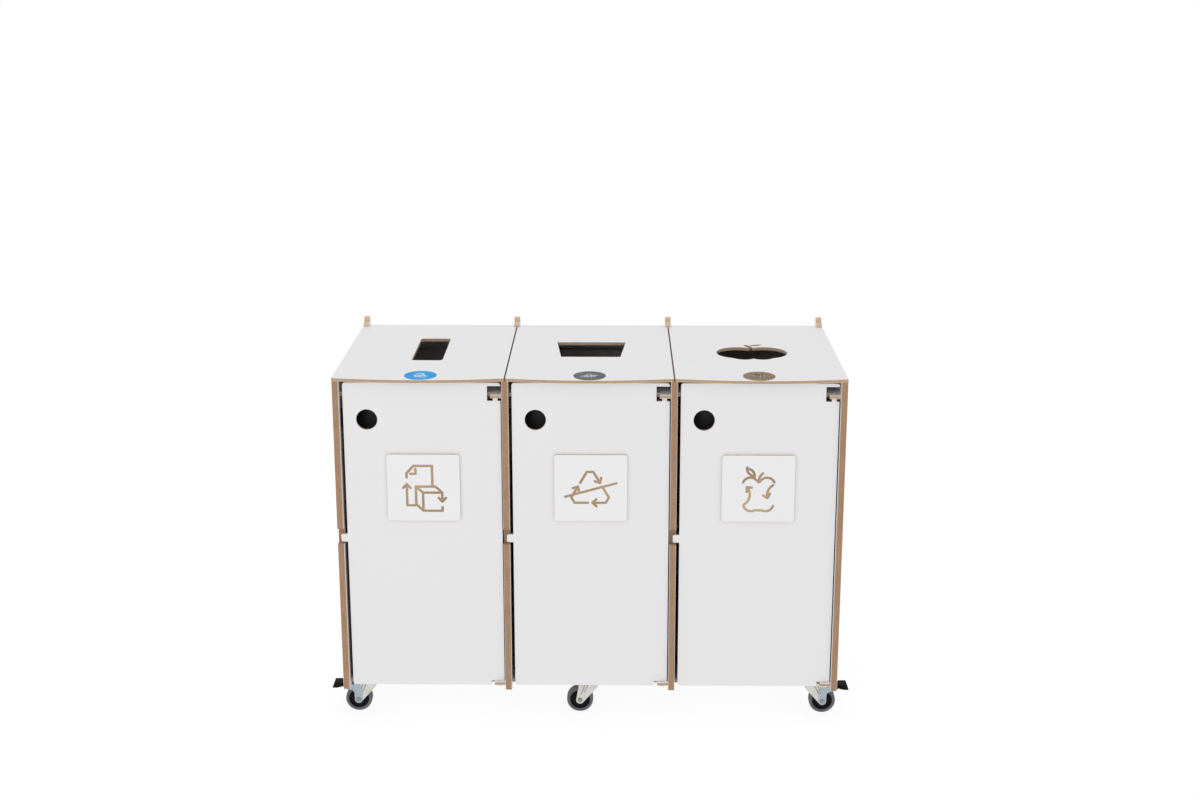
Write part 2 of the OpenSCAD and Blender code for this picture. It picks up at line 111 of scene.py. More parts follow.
def studio_floor(reach):
    """A flat square far larger than the object."""
    corners = [(-reach, -reach, 0), (reach, -reach, 0), (reach, reach, 0), (-reach, reach, 0)]
    mesh = bpy.data.meshes.new("studio_floor")
    mesh.from_pydata(corners, [], [(0, 1, 2, 3)])
    floor = bpy.data.objects.new("studio_floor", mesh)
    bpy.context.collection.objects.link(floor)
    return floor


floor = studio_floor(30.0)

# %% [markdown]
# A material is a network of small nodes. It could be wired by hand, but a few helpers that each add
# one node and hand back its output let the networks below be read like arithmetic.

# %% Shader helpers
def new_group(name, inputs, outputs):
    """A shader node group with named sockets; returns the tree and its two end nodes."""
    tree = bpy.data.node_groups.new(name, "ShaderNodeTree")
    for label, kind, value in inputs:
        socket = tree.interface.new_socket(name=label, in_out="INPUT", socket_type=kind)
        if value is not None:
            socket.default_value = value
    for label, kind in outputs:
        tree.interface.new_socket(name=label, in_out="OUTPUT", socket_type=kind)
    return tree, tree.nodes.new("NodeGroupInput"), tree.nodes.new("NodeGroupOutput")


def math_node(tree, kind, first, second=None, clamp=False):
    """One Math node; first and second are sockets or numbers. Returns its output."""
    node = tree.nodes.new("ShaderNodeMath")
    node.operation = kind
    node.use_clamp = clamp
    for i, value in enumerate(v for v in (first, second) if v is not None):
        if isinstance(value, (int, float)):
            node.inputs[i].default_value = value
        else:
            tree.links.new(value, node.inputs[i])
    return node.outputs[0]


def mix_colour(tree, factor, first, second):
    """A colour Mix node; colours are sockets or RGBA tuples. Returns its output."""
    node = tree.nodes.new("ShaderNodeMix")
    node.data_type = "RGBA"
    for socket, value in ((node.inputs[0], factor), (node.inputs[6], first), (node.inputs[7], second)):
        if isinstance(value, (int, float, tuple)):
            socket.default_value = value
        else:
            tree.links.new(value, socket)
    return node.outputs[2]


def noise(tree, vector, scale, detail=3.0, rough=0.5):
    """A Noise texture on a vector socket. Returns its Factor output."""
    node = tree.nodes.new("ShaderNodeTexNoise")
    node.inputs["Scale"].default_value = scale
    node.inputs["Detail"].default_value = detail
    node.inputs["Roughness"].default_value = rough
    tree.links.new(vector, node.inputs["Vector"])
    return node.outputs["Fac"]


def stretch(tree, vector, factors):
    """Scales a vector along each axis, so that a noise becomes a grain."""
    node = tree.nodes.new("ShaderNodeVectorMath")
    node.operation = "MULTIPLY"
    node.inputs[1].default_value = factors
    tree.links.new(vector, node.inputs[0])
    return node.outputs[0]


def ramp(tree, value, low, high):
    """0 below low, 1 above high, straight between."""
    node = tree.nodes.new("ShaderNodeMapRange")
    node.inputs["From Min"].default_value = low
    node.inputs["From Max"].default_value = high
    tree.links.new(value, node.inputs["Value"])
    return node.outputs["Result"]


print("helpers ready")

# %% [markdown]
# Several finishes share the same small effects, so each effect is a node group. The first one says
# what a board looks like at a given depth below its face: a hard white skin outside, and thin veneers
# inside, whose grain runs lengthways and crossways in turn. Because it only asks for a depth, the same
# group colours a flat face, a sawn edge and the floor of an engraved line, with no mask to paint.

# %% Group: plywood seen at a depth
def plywood_group():
    """Depth is in millimetres from the board's middle, Half is half the board's thickness."""
    tree, given, made = new_group(
        "plywood_at_depth",
        [("Position", "NodeSocketVector", None), ("Depth", "NodeSocketFloat", 0.0),
         ("Half", "NodeSocketFloat", 4.5), ("Skin", "NodeSocketFloat", 0.7),
         ("Veneer", "NodeSocketFloat", 1.35), ("Skin Colour", "NodeSocketColor", (0.8, 0.8, 0.8, 1)),
         ("Light Wood", "NodeSocketColor", (0.50, 0.325, 0.205, 1)),
         ("Dark Wood", "NodeSocketColor", (0.255, 0.145, 0.082, 1))],
        [("Colour", "NodeSocketColor"), ("Skin Mask", "NodeSocketFloat"), ("Height", "NodeSocketFloat")])
    out = given.outputs
    place = out["Position"]
    from_face = math_node(tree, "SUBTRACT", out["Half"], math_node(tree, "ABSOLUTE", out["Depth"]))
    skin = ramp(tree, math_node(tree, "SUBTRACT", out["Skin"], from_face), -0.04, 0.04)
    # Which veneer, and where in it
    wobble = math_node(tree, "MULTIPLY", math_node(tree, "SUBTRACT", noise(tree, place, 9.0, 2.0), 0.5), 0.5)
    from_back = math_node(tree, "ADD", out["Depth"], out["Half"])
    layers = math_node(tree, "DIVIDE", math_node(tree, "ADD", from_back, wobble), out["Veneer"])
    odd = math_node(tree, "ROUND", math_node(tree, "MODULO", math_node(tree, "FLOOR", layers), 2.0))
    inside = math_node(tree, "FRACT", layers)
    glue = math_node(tree, "SUBTRACT", 1.0, ramp(tree, inside, 0.02, 0.16))
    # Lengthways veneers are streaky, crossways ones show speckled end grain
    streaks = noise(tree, stretch(tree, place, (700.0, 700.0, 18.0)), 1.0, 4.0, 0.6)
    speckle = noise(tree, stretch(tree, place, (1500.0, 1500.0, 1500.0)), 1.0, 3.0, 0.65)
    patches = ramp(tree, noise(tree, stretch(tree, place, (60.0, 60.0, 26.0)), 1.0, 4.0), 0.32, 0.68)
    knots = ramp(tree, noise(tree, stretch(tree, place, (60.0, 60.0, 30.0)), 1.0, 2.0), 0.74, 0.79)
    grain = mix_colour(tree, odd, streaks, speckle)
    grain_tone = math_node(tree, "MULTIPLY", ramp(tree, grain, 0.25, 0.75), 0.5)
    depth_of_tone = math_node(tree, "ADD", math_node(tree, "MULTIPLY", odd, 0.45), grain_tone, True)
    wood = mix_colour(tree, depth_of_tone, out["Light Wood"], out["Dark Wood"])
    wood = mix_colour(tree, math_node(tree, "MULTIPLY", patches, 0.34), wood, out["Dark Wood"])
    wood = mix_colour(tree, math_node(tree, "MULTIPLY", glue, 0.55), wood, (0.17, 0.1, 0.06, 1))
    wood = mix_colour(tree, math_node(tree, "MULTIPLY", knots, 0.8), wood, (0.09, 0.05, 0.03, 1))
    # Handling leaves the white skin a touch uneven
    mottle = math_node(tree, "MULTIPLY", ramp(tree, noise(tree, place, 3.5, 4.0), 0.3, 0.75), 0.05)
    skin_tone = mix_colour(tree, mottle, out["Skin Colour"], (0.68, 0.67, 0.66, 1))
    tree.links.new(mix_colour(tree, skin, wood, skin_tone), made.inputs["Colour"])
    tree.links.new(skin, made.inputs["Skin Mask"])
    wood_relief = math_node(tree, "MULTIPLY", grain, math_node(tree, "SUBTRACT", 1.0, skin))
    tree.links.new(wood_relief, made.inputs["Height"])
    return tree


PLYWOOD = plywood_group()
print("group", PLYWOOD.name, len(PLYWOOD.nodes), "nodes")

# %% [markdown]
# Nothing that is pressed or moulded is quite smooth. One fine noise makes the grain of the surface and
# one slow noise says where hands have polished it. Every finish uses both, each at its own scale, so
# they share a second group.

# %% Group: the fine uneven surface of a pressed or moulded face
def texture_group():
    """Grain is a fine bump, Wear a slow change that dulls some places."""
    tree, given, made = new_group(
        "fine_surface",
        [("Position", "NodeSocketVector", None), ("Grain Scale", "NodeSocketFloat", 900.0),
         ("Wear Scale", "NodeSocketFloat", 12.0)],
        [("Grain", "NodeSocketFloat"), ("Wear", "NodeSocketFloat")])
    for label, detail in (("Grain", 2.0), ("Wear", 5.0)):
        node = tree.nodes.new("ShaderNodeTexNoise")
        node.label = label
        node.inputs["Detail"].default_value = detail
        tree.links.new(given.outputs["Position"], node.inputs["Vector"])
        tree.links.new(given.outputs[label + " Scale"], node.inputs["Scale"])
        tree.links.new(node.outputs["Fac"], made.inputs[label])
    return tree


FINE_SURFACE = texture_group()
print("group", FINE_SURFACE.name)

# %% [markdown]
# A board's finish is one material for each thickness, because the number of veneers is part of it. The
# depth comes from an attribute that is stored on each board when it is made, so a board keeps its
# layers whichever way it lies or swings. The skin is a satin laminate, the wood is dull.

# %% Materials: boards
def start_material(name):
    """An empty node material: returns it, its tree, the shader and the object coordinates."""
    material = bpy.data.materials.new(name)
    material.use_nodes = True
    tree = material.node_tree
    shader = tree.nodes["Principled BSDF"]
    place = tree.nodes.new("ShaderNodeTexCoord").outputs["Object"]
    return material, tree, shader, place


def use_group(tree, group, place, **values):
    """Adds a group node fed with the position; values set its other inputs."""
    node = tree.nodes.new("ShaderNodeGroup")
    node.node_tree = group
    tree.links.new(place, node.inputs["Position"])
    for label, value in values.items():
        node.inputs[label.replace("_", " ")].default_value = value
    return node


def bump(tree, shader, height, strength, distance):
    """Feeds a height into the shader's normal."""
    node = tree.nodes.new("ShaderNodeBump")
    node.inputs["Strength"].default_value = strength
    node.inputs["Distance"].default_value = distance
    tree.links.new(height, node.inputs["Height"])
    tree.links.new(node.outputs["Normal"], shader.inputs["Normal"])


SKIN_WHITE = (0.745, 0.735, 0.745, 1)
PALE_WOOD = {"Light_Wood": (0.62, 0.44, 0.29, 1), "Dark_Wood": (0.34, 0.215, 0.125, 1)}
FRESH_WOOD = {"Light_Wood": (0.69, 0.52, 0.335, 1), "Dark_Wood": (0.47, 0.325, 0.185, 1)}
LUG_WOOD = (0.80, 0.64, 0.47, 1)


def board_material(name, thickness, veneers, skin_colour=SKIN_WHITE, pale_above=None, **wood_colours):
    """A laminated board; its veneers share the thickness evenly. Above pale_above its wood is paler."""
    material, tree, shader, place = start_material(name)
    wood = use_group(tree, PLYWOOD, place, Half=thickness / 2, Veneer=thickness / veneers,
                     Skin_Colour=skin_colour, **wood_colours)
    depth = tree.nodes.new("ShaderNodeAttribute")
    depth.attribute_name = "depth_mm"
    tree.links.new(depth.outputs["Fac"], wood.inputs["Depth"])
    colour = wood.outputs["Colour"]
    if pale_above is not None:
        height = tree.nodes.new("ShaderNodeSeparateXYZ")
        tree.links.new(place, height.inputs[0])
        bare = math_node(tree, "SUBTRACT", 1.0, wood.outputs["Skin Mask"])
        pale = math_node(tree, "MULTIPLY", ramp(tree, height.outputs["Z"], pale_above, pale_above + MM), bare)
        colour = mix_colour(tree, math_node(tree, "MULTIPLY", pale, 0.6), colour, LUG_WOOD)
    tree.links.new(colour, shader.inputs["Base Color"])
    fine = use_group(tree, FINE_SURFACE, place, Grain_Scale=1100.0, Wear_Scale=7.0)
    satin = math_node(tree, "ADD", 0.36, math_node(tree, "MULTIPLY", fine.outputs["Wear"], 0.12))
    dull = math_node(tree, "MULTIPLY", math_node(tree, "SUBTRACT", 1.0, wood.outputs["Skin Mask"]), 0.28)
    tree.links.new(math_node(tree, "ADD", satin, dull), shader.inputs["Roughness"])
    orange_peel = math_node(tree, "MULTIPLY", fine.outputs["Grain"], 0.12)
    bump(tree, shader, math_node(tree, "ADD", orange_peel, wood.outputs["Height"]), 0.25, 0.0004)
    shine = math_node(tree, "ADD", 0.10, math_node(tree, "MULTIPLY", wood.outputs["Skin Mask"], 0.30))
    tree.links.new(shine, shader.inputs["Specular IOR Level"])
    return material


LUG_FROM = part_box("lid_left")[1][2]
BOARD_18 = board_material("ply_18", 18.0, 13, pale_above=LUG_FROM)
BOARD_9 = board_material("ply_9", 9.0, 7, **PALE_WOOD)
BOARD_6 = board_material("ply_6", 6.0, 5, (0.775, 0.765, 0.775, 1), **FRESH_WOOD)
print("boards", BOARD_18.name, BOARD_9.name, BOARD_6.name)

# %% [markdown]
# The rest are everyday shop finishes. Plastic, rubber and printed ink are one recipe with another
# colour, gloss and grain. Zinc plate is metal with cloudy patches: creamy on the forks, bluish on the
# brake plates, duller on the bolts. The pressed ribs take the same darker zinc as painted shade, which
# stands in for the shade and dark reflections along the pleats.

# %% Materials: plastics, rubber and steel
def moulded(name, colour, rough, grain=700.0, relief=0.2, shine=0.25):
    """A moulded plastic or rubber: even colour, fine texture, slightly polished in places."""
    material, tree, shader, place = start_material(name)
    fine = use_group(tree, FINE_SURFACE, place, Grain_Scale=grain, Wear_Scale=25.0)
    worn = tuple(min(1.0, c * 1.35 + 0.004) for c in colour)
    tone = mix_colour(tree, ramp(tree, fine.outputs["Wear"], 0.35, 0.75), (*colour, 1), (*worn, 1))
    tree.links.new(tone, shader.inputs["Base Color"])
    uneven = math_node(tree, "MULTIPLY", fine.outputs["Wear"], 0.18)
    tree.links.new(math_node(tree, "ADD", rough, uneven), shader.inputs["Roughness"])
    shader.inputs["Specular IOR Level"].default_value = shine
    bump(tree, shader, fine.outputs["Grain"], relief, 0.0003)
    return material


def zinc(name, colour, rough):
    """Zinc-plated steel: cloudy crystals, soft gloss, faint tint where the plating is thin."""
    material, tree, shader, place = start_material(name)
    fine = use_group(tree, FINE_SURFACE, place, Grain_Scale=260.0, Wear_Scale=40.0)
    tint = tuple(c * f for c, f in zip(colour, (0.92, 0.86, 0.74)))
    tone = mix_colour(tree, ramp(tree, fine.outputs["Wear"], 0.42, 0.72), (*colour, 1), (*tint, 1))
    tree.links.new(tone, shader.inputs["Base Color"])
    shader.inputs["Metallic"].default_value = 1.0
    uneven = math_node(tree, "MULTIPLY", fine.outputs["Grain"], 0.16)
    tree.links.new(math_node(tree, "ADD", rough, uneven), shader.inputs["Roughness"])
    bump(tree, shader, fine.outputs["Grain"], 0.12, 0.0002)
    return material


BIN_PLASTIC = moulded("bin_plastic", (0.020, 0.020, 0.021), 0.42)
# Paler grey for the bin's rim and inner walls: partly a lighter rim band, partly painted light on the shaded
# inside.
BIN_INSIDE_PAINTED_LIGHT = moulded("bin_inside_painted_light", (0.31, 0.29, 0.275), 0.5)
BLACK_PLASTIC = moulded("black_plastic", (0.006, 0.006, 0.0065), 0.5, shine=0.07)
TYRE_GREY = moulded("tyre_grey", (0.098, 0.101, 0.112), 0.6, 500.0, shine=0.2)
PRINT_WHITE = moulded("print_white", (0.80, 0.80, 0.79), 0.5)
ZINC = zinc("zinc_plate", (0.66, 0.655, 0.63), 0.36)
ZINC_BLUE = zinc("zinc_blue", (0.40, 0.475, 0.545), 0.38)
# Darker zinc: dull plating on the bolts, and painted shade on the fork ribs.
ZINC_DULL_AND_RIB_SHADE = zinc("zinc_dull_and_rib_shade", (0.36, 0.355, 0.34), 0.42)
BADGE_INK = {
    "left": moulded("badge_blue", (0.032, 0.30, 0.62), 0.6, shine=0.06),
    "centre": moulded("badge_grey", (0.115, 0.135, 0.12), 0.6, shine=0.06),
    "right": moulded("badge_taupe", (0.205, 0.165, 0.105), 0.6, shine=0.06),
}
FLOOR_GLOW = 0.86


def floor_material():
    """A dull pale ground that glows, so it shows hardly any shadow."""
    material, tree, shader, place = start_material("pale_floor")
    tone = mix_colour(tree, noise(tree, place, 1.5, 3.0), (0.150, 0.150, 0.150, 1), (0.158, 0.158, 0.158, 1))
    tree.links.new(tone, shader.inputs["Base Color"])
    shader.inputs["Roughness"].default_value = 1.0
    shader.inputs["Specular IOR Level"].default_value = 0.0
    shader.inputs["Emission Color"].default_value = (1.0, 1.0, 1.0, 1.0)
    shader.inputs["Emission Strength"].default_value = FLOOR_GLOW
    return material


floor.data.materials.append(floor_material())
print("materials", len(bpy.data.materials))

# %% [markdown]
# A sharp edge never catches light, which is why raw solids look like toys. Each carried-over solid is
# copied, its loose triangles are merged back into faces, and its hard edges get a small round. The
# plain solid is hidden, and the softened copy stands in front for it.

# %% Softened copies of the plain solids
def hand_over(piece, body, slot, *nodes):
    """Hangs the piece on its body and hides the plain solids it replaces."""
    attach(piece, body)
    if nodes:
        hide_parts(*nodes)


def new_piece(name, mesh, *materials):
    """An object at the origin that shows a mesh with the given materials."""
    piece = bpy.data.objects.new(name, mesh)
    bpy.context.collection.objects.link(piece)
    for material in materials:
        mesh.materials.append(material)
    return piece


def merged(node):
    """A node's mesh as a bmesh with its triangles joined into flat faces."""
    bm = bmesh.new()
    bm.from_mesh(frame["nodes"][node].data)
    bmesh.ops.remove_doubles(bm, verts=bm.verts, dist=2e-6)
    bmesh.ops.dissolve_limit(bm, angle_limit=math.radians(0.6), verts=bm.verts, edges=bm.edges)
    return bm


def round_edges(bm, width, segments, sharper_than=32.0):
    """Bevels every edge that is bent more than the given angle; width is in metres."""
    folds = [e for e in bm.edges if len(e.link_faces) == 2]
    edges = [e for e in folds if math.degrees(e.calc_face_angle()) > sharper_than]
    if edges and width > 0:
        bmesh.ops.bevel(bm, geom=edges, offset=width, segments=segments, profile=0.5, affect="EDGES",
                        offset_type="OFFSET", clamp_overlap=True)


def shaded(mesh, smooth_under=38.0):
    """Smooth below the given angle, and each large face keeps its own normal up to its very edge."""
    mesh.polygons.foreach_set("use_smooth", [True] * len(mesh.polygons))
    mesh.set_sharp_from_angle(angle=math.radians(smooth_under))
    holder = bpy.data.objects.new("holder", mesh)
    bpy.context.collection.objects.link(holder)
    weigh = holder.modifiers.new("weigh", "WEIGHTED_NORMAL")
    weigh.mode = "FACE_AREA"
    weigh.keep_sharp = True
    graph = bpy.context.evaluated_depsgraph_get()
    result = bpy.data.meshes.new_from_object(holder.evaluated_get(graph))
    bpy.data.objects.remove(holder)
    return result


def to_mesh(bm, name, smooth_under=38.0):
    """A bmesh as a plain, shaded mesh."""
    mesh = bpy.data.meshes.new(name)
    bm.to_mesh(mesh)
    bm.free()
    return shaded(mesh, smooth_under)


def bm_with_edges(node, width, segments):
    """A node's merged faces with rounded edges; width is in millimetres."""
    bm = merged(node)
    round_edges(bm, width * MM, segments)
    return bm


def softened(node, material, width=0.5, segments=2):
    """A plain solid of one material with rounded edges."""
    mesh = to_mesh(bm_with_edges(node, width, segments), node + "_mesh")
    piece = new_piece(node + "_soft", mesh, material)
    hand_over(piece, BODY_OF[node], SLOT_OF[node], node)
    return piece


def store_depth(mesh, axis, middle):
    """Writes each point's distance from the board's middle plane, in millimetres."""
    layer = mesh.attributes.new("depth_mm", "FLOAT", "POINT")
    layer.data.foreach_set("value", [(v.co[axis] - middle) / MM for v in mesh.vertices])


def board(node, axis, material, width=0.5):
    """A plywood piece: axis is the direction of its thickness."""
    low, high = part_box(node)
    bm = bm_with_edges(node, width, 2)
    mesh = to_mesh(bm, node + "_mesh", 60.0)
    store_depth(mesh, axis, (low[axis] + high[axis]) / 2)
    piece = new_piece(node + "_board", mesh, material)
    hand_over(piece, BODY_OF[node], SLOT_OF[node], node)
    return piece


X, Y, Z = 0, 1, 2
for name in ("left_end_panel", "left_divider", "right_divider", "right_end_panel"):
    board(name, X, BOARD_18, 1.2)
for bay in BAYS:
    board("floor_board_" + bay, Z, BOARD_9)
    board("top_rail_" + bay, Z, BOARD_9)
    board("back_panel_" + bay, Y, BOARD_9)
    board("lid_" + bay, Z, BOARD_9, 0.4)
    board("door_" + bay, Y, BOARD_9, 0.4)

# %% [markdown]
# The signs are symbols cut into the laminate, so the birch shows as thin tan lines. A symbol could be
# traced as a filled outline, but an engraver thinks in strokes, and so does this cell: each symbol is a
# list of strokes on a square from -1 to 1. The same strokes serve the signs and the badges.

# %% Symbols as strokes
def arc(cx, cy, r, start, end, steps=10):
    """Points along a circle, in degrees."""
    turn = [math.radians(start + (end - start) * i / steps) for i in range(steps + 1)]
    return [(cx + r * math.cos(a), cy + r * math.sin(a)) for a in turn]


def arrow(tip, direction, size):
    """Two short strokes that make an arrow head; direction in degrees points the way it flies."""
    sides = [math.radians(direction + s * 138) for s in (-1, 1)]
    ends = [(tip[0] + size * math.cos(a), tip[1] + size * math.sin(a)) for a in sides]
    return [[ends[0], tip, ends[1]]]


def paper_symbol():
    """A sheet with a folded corner, and a carton in front of it."""
    sheet = [(-0.52, 0.34), (-0.52, 0.48), (-0.30, 0.72), (0.28, 0.72), (0.28, 0.06)]
    fold = [(-0.40, 0.46), (-0.24, 0.46), (-0.24, 0.62)]
    up = [(-0.52, 0.10), (-0.52, -0.58), (-0.24, -0.58)]
    carton = [(-0.24, 0.04), (0.38, 0.04), (0.58, -0.16), (0.58, -0.34)]
    front = [(-0.24, 0.04), (-0.24, -0.54), (-0.02, -0.76), (0.58, -0.76), (0.58, -0.64)]
    edges = [[(-0.24, 0.04), (-0.02, -0.16), (0.58, -0.16)], [(-0.02, -0.16), (-0.02, -0.76)]]
    heads = arrow((-0.52, 0.12), 90, 0.17) + arrow((0.58, -0.46), -90, 0.17)
    return [sheet, fold, up, carton, front, *edges, *heads]


def general_symbol():
    """Three bent arrows that chase each other round a blunt triangle, crossed by one long bar."""
    arm = [(-0.31, 0.26), (-0.10, 0.62), (0.10, 0.62), (0.31, 0.26)]
    strokes = []
    for turn in (0, 120, 240):
        spin = Matrix.Rotation(math.radians(-turn), 2)
        path = [tuple(spin @ Vector(p) + Vector((-0.02, -0.08))) for p in arm]
        heading = math.degrees(math.atan2(path[3][1] - path[2][1], path[3][0] - path[2][0]))
        strokes += [path, *arrow(path[3], heading, 0.17)]
    return [*strokes, [(-0.80, -0.28), (0.80, 0.17)]]


def organic_symbol():
    """A fruit core: a cap of two humps, two hollow flanks that are arrows, a foot, a stalk and a leaf."""
    cap = arc(-0.25, 0.13, 0.24, 160, 40, 8) + [(0.01, 0.21)] + arc(0.27, 0.13, 0.24, 140, 20, 8)
    right = arc(0.66, -0.20, 0.38, 122, 196, 8)
    left = arc(-0.64, -0.20, 0.38, -58, 42, 8)
    foot = arc(-0.22, -0.50, 0.24, 195, 300, 6) + arc(0.24, -0.50, 0.24, 240, 345, 6)
    stalk = arc(0.34, 0.25, 0.33, 180, 128, 5)
    leaf = arc(-0.36, 0.42, 0.24, -10, 88, 7) + arc(-0.12, 0.66, 0.24, 170, 268, 7)
    return [cap, right, left, foot, stalk, leaf, *arrow(left[-1], 132, 0.16), *arrow(right[-1], 286, 0.16)]


SYMBOLS = {"left": paper_symbol(), "centre": general_symbol(), "right": organic_symbol()}
print({k: len(v) for k, v in SYMBOLS.items()})

# %% [markdown]
# Each part of a stroke becomes a round-ended bar. All bars of a symbol go into one cutter, and a
# boolean takes them out of the plate, down into the first veneer, as a round-nosed router would.

# %% Strokes to solids
def bar_between(bm, a, b, half, place, low, high, sides=10):
    """A round-ended bar from a to b, standing from low to high; place turns flat points into space."""
    across = Vector((b[0] - a[0], b[1] - a[1]))
    heading = math.atan2(across.y, across.x)
    ring = []
    for centre, start in ((b, heading - math.pi / 2), (a, heading + math.pi / 2)):
        for i in range(sides + 1):
            t = start + math.pi * i / sides
            ring.append((centre[0] + half * math.cos(t), centre[1] + half * math.sin(t)))
    lower = [bm.verts.new(place(x, y, low)) for x, y in ring]
    upper = [bm.verts.new(place(x, y, high)) for x, y in ring]
    bm.faces.new(lower[::-1])
    bm.faces.new(upper)
    for i in range(len(ring)):
        j = (i + 1) % len(ring)
        bm.faces.new((lower[i], lower[j], upper[j], upper[i]))


def stroke_solids(strokes, half, place, low, high, sides=10):
    """All strokes of a symbol as bars, in one bmesh that may overlap itself."""
    bm = bmesh.new()
    for stroke in strokes:
        for a, b in zip(stroke, stroke[1:]):
            bar_between(bm, a, b, half, place, low, high, sides)
    bmesh.ops.recalc_face_normals(bm, faces=bm.faces)
    return bm


def carve(piece, cutter):
    """Takes the cutter out of the piece and keeps the result as a plain mesh."""
    cut = piece.modifiers.new("carve", "BOOLEAN")
    cut.operation = "DIFFERENCE"
    cut.solver = "EXACT"
    cut.use_self = True
    cut.object = cutter
    graph = bpy.context.evaluated_depsgraph_get()
    mesh = bpy.data.meshes.new_from_object(piece.evaluated_get(graph))
    piece.modifiers.remove(cut)
    bpy.data.objects.remove(cutter)
    return mesh


LINE_HALF = 0.04
ENGRAVE_DEPTH = 1.3 * MM
SYMBOL_SCALE = 0.088


def sign_plate(bay):
    """The square plate on a door, with its symbol cut in."""
    node = "sign_plate_" + bay
    low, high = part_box(node)
    cx, cz = (low[X] + high[X]) / 2, (low[Z] + high[Z]) / 2
    plain = new_piece(node + "_plain", to_mesh(bm_with_edges(node, 0.5, 2), node + "_plain"))

    def place(x, y, z):
        return (cx + x * SYMBOL_SCALE, z, cz + y * SYMBOL_SCALE)

    bars = stroke_solids(SYMBOLS[bay], LINE_HALF, place, low[Y] - MM, low[Y] + ENGRAVE_DEPTH)
    cutter = new_piece("cutter", to_mesh(bars, "cutter"))
    mesh = shaded(carve(plain, cutter), 50.0)
    bpy.data.objects.remove(plain)
    store_depth(mesh, Y, (low[Y] + high[Y]) / 2)
    mesh.materials.clear()
    piece = new_piece(node + "_cut", mesh, BOARD_6)
    hand_over(piece, BODY_OF[node], SLOT_OF[node], node)
    return piece


for bay in BAYS:
    plate = sign_plate(bay)
    print(plate.name, len(plate.data.polygons), "faces")

# %% [markdown]
# A badge is a printed disc, stuck on the lid. Ink could be a picture on the disc, but a picture blurs
# when one looks closely. Here the print is real geometry, a tenth of a millimetre high.

# %% Badges
PRINT_RISE = 0.12 * MM
PRINT_SINK = 0.05 * MM
PRINT_HALF = 0.065
PRINT_SHARE = 0.62


def badge(bay):
    """A thin coloured disc on the lid with a small white symbol printed on it."""
    node = "badge_" + bay
    low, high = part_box(node)
    cx, cy = (low[X] + high[X]) / 2, (low[Y] + high[Y]) / 2
    size = (high[X] - low[X]) / 2 * PRINT_SHARE
    bm = bm_with_edges(node, 0.25, 2)

    def place(x, y, z):
        return (cx + x * size, cy + y * size * 0.9, z)

    bars = stroke_solids(SYMBOLS[bay], PRINT_HALF, place, high[Z] - PRINT_SINK, high[Z] + PRINT_RISE, 5)
    for face in bars.faces:
        face.material_index = 1
    print_mesh = bpy.data.meshes.new("print")
    bars.to_mesh(print_mesh)
    bars.free()
    bm.from_mesh(print_mesh)
    piece = new_piece(node + "_disc", to_mesh(bm, node + "_mesh"), BADGE_INK[bay], PRINT_WHITE)
    hand_over(piece, BODY_OF[node], SLOT_OF[node], node)
    return piece


for bay in BAYS:
    badge(bay)
print("badges made")

# %% [markdown]
# The bins hide in the dark under the lids, and only a little of their inner walls shows through the
# openings. Rim and inner walls are a lighter grey than the outside: partly a paler rim band, and partly
# painted light that stands in for light falling into the bin; otherwise the openings would be pure black
# holes. A face belongs to the inside if it looks towards the middle of the bin.

# %% Bins and small hardware
RIM_BAND = 16 * MM


def bin_piece(bay):
    """A bin that is dark outside, and paler at its rim and inside: partly a lighter rim, partly painted
    light.
    """
    node = "bin_" + bay
    low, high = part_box(node)
    middle = (Vector(low) + Vector(high)) / 2
    bm = bm_with_edges(node, 1.2, 2)
    rim_low = high[Z] - RIM_BAND
    for face in bm.faces:
        place = face.calc_center_median()
        # Rim and inner faces take the paler grey, painted light for the shaded inside of the bin.
        face.material_index = int(place.z > rim_low or face.normal.dot(middle - place) > 0)
    piece = new_piece(node + "_body", to_mesh(bm, node + "_mesh", 45.0), BIN_PLASTIC, BIN_INSIDE_PAINTED_LIGHT)
    hand_over(piece, BODY_OF[node], SLOT_OF[node], node)
    return piece


for bay in BAYS:
    bin_piece(bay)
    softened("strike_plate_" + bay, ZINC, 0.2)
softened("door_catches", BLACK_PLASTIC, 0.8)
softened("caster_plates", ZINC, 0.4)
print("bins and hardware made")

# %% [markdown]
# A caster is pressed from thin plate, so it is drawn as plates: an outline, a thickness and an eased
# edge. Every outline is in millimetres round the wheel's axle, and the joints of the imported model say
# where that axle is and which way the fork trails. The braked casters carry a second, bluish plate.

# %% Plates from outlines
def flat_plate(outlines, thick, ease):
    """A plate in the XY plane from closed outlines in metres; an outline inside another is a hole."""
    curve = bpy.data.curves.new("outline", "CURVE")
    curve.dimensions = "2D"
    curve.fill_mode = "BOTH"
    curve.extrude = thick / 2 - ease
    curve.bevel_depth = ease
    curve.bevel_resolution = 1
    for points in outlines:
        spline = curve.splines.new("POLY")
        spline.points.add(len(points) - 1)
        spline.points.foreach_set("co", [c for x, y in points for c in (x, y, 0.0, 1.0)])
        spline.use_cyclic_u = True
    holder = bpy.data.objects.new("holder", curve)
    bpy.context.collection.objects.link(holder)
    graph = bpy.context.evaluated_depsgraph_get()
    mesh = bpy.data.meshes.new_from_object(holder.evaluated_get(graph))
    bpy.data.objects.remove(holder)
    return mesh


def millimetres(points):
    """Turns points in millimetres into metres."""
    return [(x * MM, y * MM) for x, y in points]


def stand(turn, across):
    """Takes a flat plate upright: its X runs along the trail, its Y up, its Z across the wheel."""
    upright = Matrix(((turn, 0, 0, 0), (0, 0, 1, 0), (0, 1, 0, 0), (0, 0, 0, 1)))
    return Matrix.Translation((0.0, across, 0.0)) @ upright


